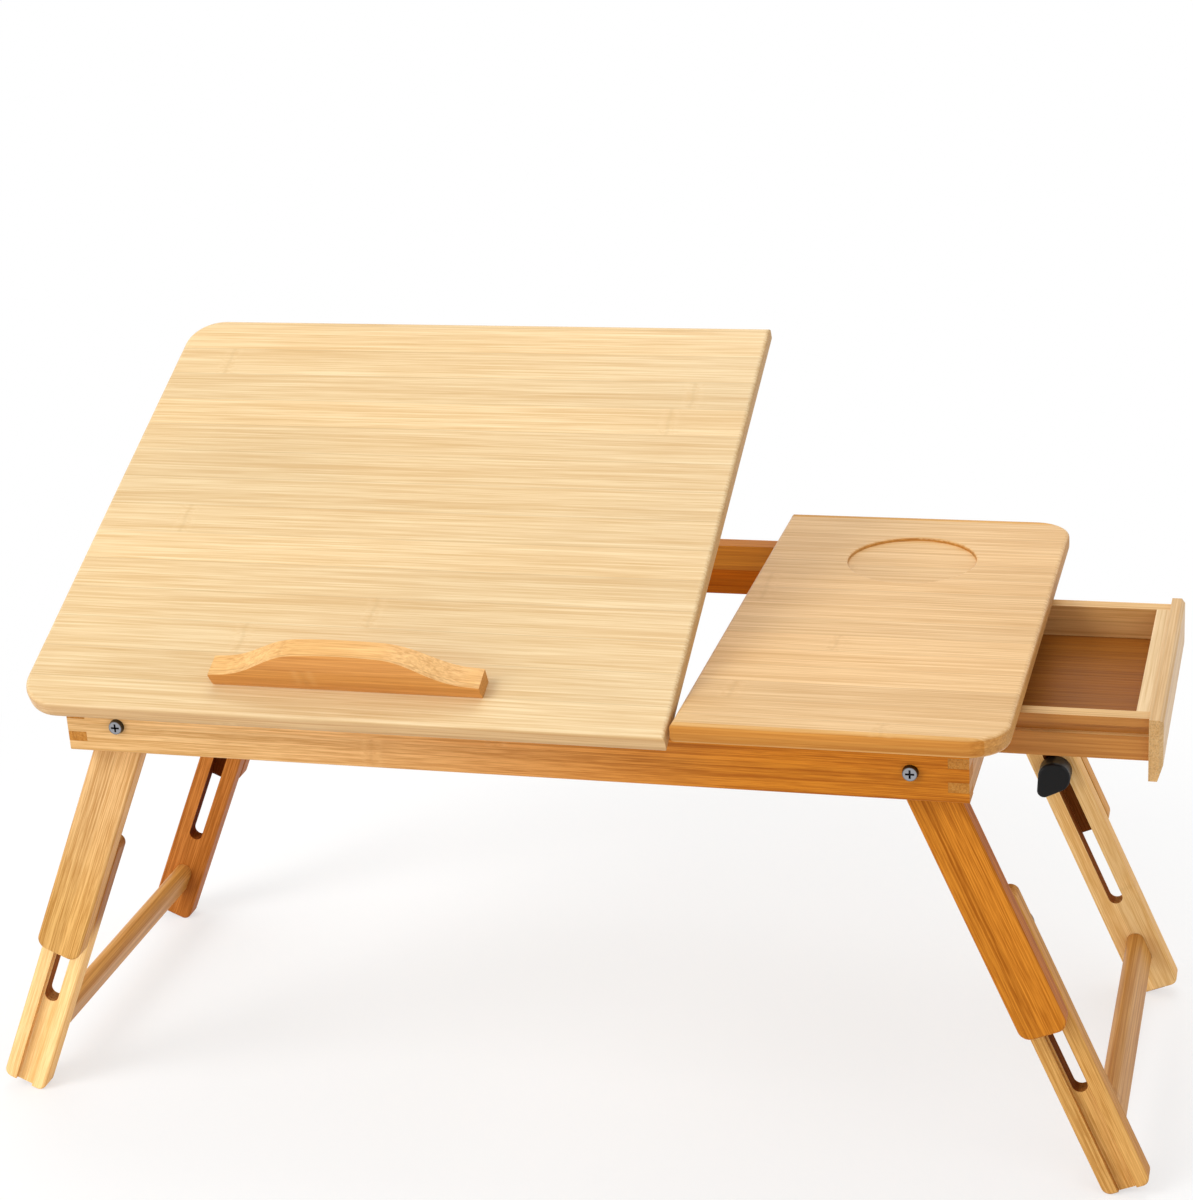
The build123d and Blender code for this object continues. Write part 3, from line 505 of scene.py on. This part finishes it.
finish = {**wood_of_tops(), **wood_of_frame(), **wood_of_drawer(), **wood_of_legs()}
finish["pivot_bolts"] = bolt_chrome()
finish["pivot_spacers"] = plastic("nylon", (0.80, 0.80, 0.76), 0.5, 1200.0)
black = plastic("black_plastic", (0.0035, 0.0035, 0.004), 0.34, 2500.0, 0.22)
steel = metal("steel", (0.62, 0.62, 0.64), 0.34, 1600.0, 0.15)
for name, node in nodes.items():
    node.data.materials.clear()
    node.data.materials.append(finish.get(name, black if "knob" in name else steel))


# --- floor, light and camera ----------------------------------------------------------------

WHITE = (1.0, 1.0, 1.0, 1.0)
SHADOW_FADES = (0.28, 0.68)  # from the middle of the floor
LAMP_AIM = (0.0, 0.0, 0.15)


def seen_directly(tree):
    """1 for what the camera sees, also in a mirror or through glass, and 0 for other light."""
    path = add(tree, "ShaderNodeLightPath").outputs
    seen = calc(tree, "MAXIMUM", path["Is Camera Ray"], path["Is Glossy Ray"])
    return calc(tree, "MAXIMUM", seen, path["Is Transmission Ray"])


def pale_floor():
    """A floor that holds the shadow near the desk and turns white further off."""
    made, tree, shader = material("pale_floor")
    grain = add(tree, "ShaderNodeTexNoise", {"Scale": 40.0, "Detail": 2.0}).outputs[0]
    color = mix(tree, grain, (0.93, 0.93, 0.93, 1.0), (0.95, 0.95, 0.95, 1.0))
    plug(tree, shader.inputs["Base Color"], color)
    shader.inputs["Roughness"].default_value = 0.9
    spot = add(tree, "ShaderNodeTexCoord").outputs["Object"]
    reach = add(tree, "ShaderNodeVectorMath", {0: spot}, operation="LENGTH").outputs["Value"]
    share = multiply(tree, seen_directly(tree), fade(tree, reach, *SHADOW_FADES, 0.60, 1.0))
    white = add(tree, "ShaderNodeEmission", {"Color": WHITE, "Strength": 1.0}).outputs[0]
    inputs = {0: share, 1: shader.outputs[0], 2: white}
    whole = add(tree, "ShaderNodeMixShader", inputs).outputs[0]
    plug(tree, tree.nodes["Material Output"].inputs["Surface"], whole)
    return made


bpy.ops.mesh.primitive_plane_add(size=14.0)
floor = bpy.context.object
floor.name = "floor"
floor.data.materials.append(pale_floor())

world = bpy.data.worlds.new("studio")
bpy.context.scene.world = world
world.use_nodes = True
sky = world.node_tree.nodes["Background"]
sky.inputs["Color"].default_value = WHITE
strength = fade(world.node_tree, seen_directly(world.node_tree), 0.0, 1.0, 0.62, 1.0)
plug(world.node_tree, sky.inputs["Strength"], strength)


def lamp(name, place, aim, size, power):
    data = bpy.data.lights.new(name, "AREA")
    data.shape = "DISK"
    data.size = size
    data.energy = power
    made = bpy.data.objects.new(name, data)
    bpy.context.scene.collection.objects.link(made)
    made.location = place
    made.rotation_euler = (Vector(aim) - Vector(place)).to_track_quat("-Z", "Y").to_euler()


lamp("key", (-1.3, -1.5, 2.0), LAMP_AIM, 1.3, 27.0)
lamp("fill", (1.7, -1.3, 1.3), LAMP_AIM, 1.5, 5.0)
lamp("left", (-1.2, -1.2, 0.45), (-0.2, 0.0, 0.15), 0.9, 7.0)
lamp("top", (0.2, 0.6, 2.2), (0.0, 0.0, 0.2), 1.6, 14.0)

CAMERA_PLACE = (0.39094792, -1.26377763, 0.77629274)
CAMERA_RIGHT = Vector((0.96298132, 0.26264513, -0.06070021))
CAMERA_UP = Vector((-0.04096759, 0.36515068, 0.93004658))

camera_data = bpy.data.cameras.new("camera")
camera = bpy.data.objects.new("camera", camera_data)
bpy.context.scene.collection.objects.link(camera)
camera_axes = (CAMERA_RIGHT, CAMERA_UP, CAMERA_RIGHT.cross(CAMERA_UP))
turned = Matrix(camera_axes).transposed().to_4x4()
camera.matrix_world = Matrix.Translation(CAMERA_PLACE) @ turned
camera_data.sensor_width = 36.0
camera_data.lens = 80.229
camera_data.shift_x = 0.0029
camera_data.shift_y = 0.0035
camera_data.clip_start = 0.05
bpy.context.scene.camera = camera
bpy.context.scene.view_settings.view_transform = "Standard"
